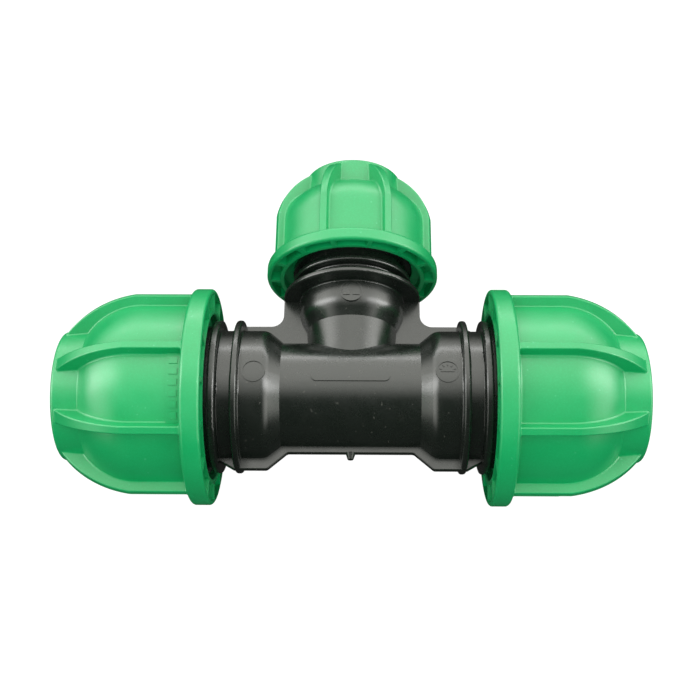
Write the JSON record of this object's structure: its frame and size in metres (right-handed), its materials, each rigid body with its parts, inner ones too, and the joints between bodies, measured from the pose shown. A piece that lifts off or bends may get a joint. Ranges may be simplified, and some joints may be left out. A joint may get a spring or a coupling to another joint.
{
  "type": "compression tee fitting",
  "caption": "Reducing compression tee for polyethylene water pipe: black moulded body with a threaded nut, split grip ring, bush and seal on every outlet.",
  "frame": {"origin": "where the run's flow axis and the branch's flow axis cross", "axes": "+X along the run towards its right outlet, +Y along the branch towards its outlet, +Z square to the plane of both, which is also the plane of the body's flat webs"},
  "size_m": [0.1806, 0.1132, 0.0682],
  "materials": {
    "body_plastic": "satin black polypropylene",
    "nut_plastic": "satin green polypropylene",
    "ring_plastic": "smooth white acetal",
    "bush_plastic": "satin black polypropylene",
    "seal_rubber": "matt black nitrile rubber"
  },
  "bodies": {
    "body": {"tee_body": "body_plastic", "run_right_seal": "seal_rubber", "run_left_seal": "seal_rubber", "branch_seal": "seal_rubber"},
    "run_right_stack": {"run_right_grip_ring": "ring_plastic", "run_right_bush": "bush_plastic"},
    "run_right_nut": {"run_right_nut": "nut_plastic"},
    "run_left_stack": {"run_left_grip_ring": "ring_plastic", "run_left_bush": "bush_plastic"},
    "run_left_nut": {"run_left_nut": "nut_plastic"},
    "branch_stack": {"branch_grip_ring": "ring_plastic", "branch_bush": "bush_plastic"},
    "branch_nut": {"branch_nut": "nut_plastic"}
  },
  "joints": [
    {"name": "run_right_travel", "type": "slide", "parent": "body", "child": "run_right_stack", "axis": [1, 0, 0], "range_m": [-0.004, 0.015]},
    {"name": "run_right_screw", "type": "hinge", "parent": "run_right_stack", "child": "run_right_nut", "pos_m": [0, 0, 0], "axis": [1, 0, 0], "range_deg": [-240, 900]},
    {"name": "run_left_travel", "type": "slide", "parent": "body", "child": "run_left_stack", "axis": [-1, 0, 0], "range_m": [-0.004, 0.015]},
    {"name": "run_left_screw", "type": "hinge", "parent": "run_left_stack", "child": "run_left_nut", "pos_m": [0, 0, 0], "axis": [-1, 0, 0], "range_deg": [-240, 900]},
    {"name": "branch_travel", "type": "slide", "parent": "body", "child": "branch_stack", "axis": [0, 1, 0], "range_m": [-0.003, 0.01]},
    {"name": "branch_screw", "type": "hinge", "parent": "branch_stack", "child": "branch_nut", "pos_m": [0, 0, 0], "axis": [0, 1, 0], "range_deg": [-216, 720]}
  ],
  "couplings": [
    {"joint": "run_right_travel", "follows": "run_right_screw", "m_per_rad": 0.00095492},
    {"joint": "run_left_travel", "follows": "run_left_screw", "m_per_rad": 0.00095492},
    {"joint": "branch_travel", "follows": "branch_screw", "m_per_rad": 0.00079577}
  ]
}
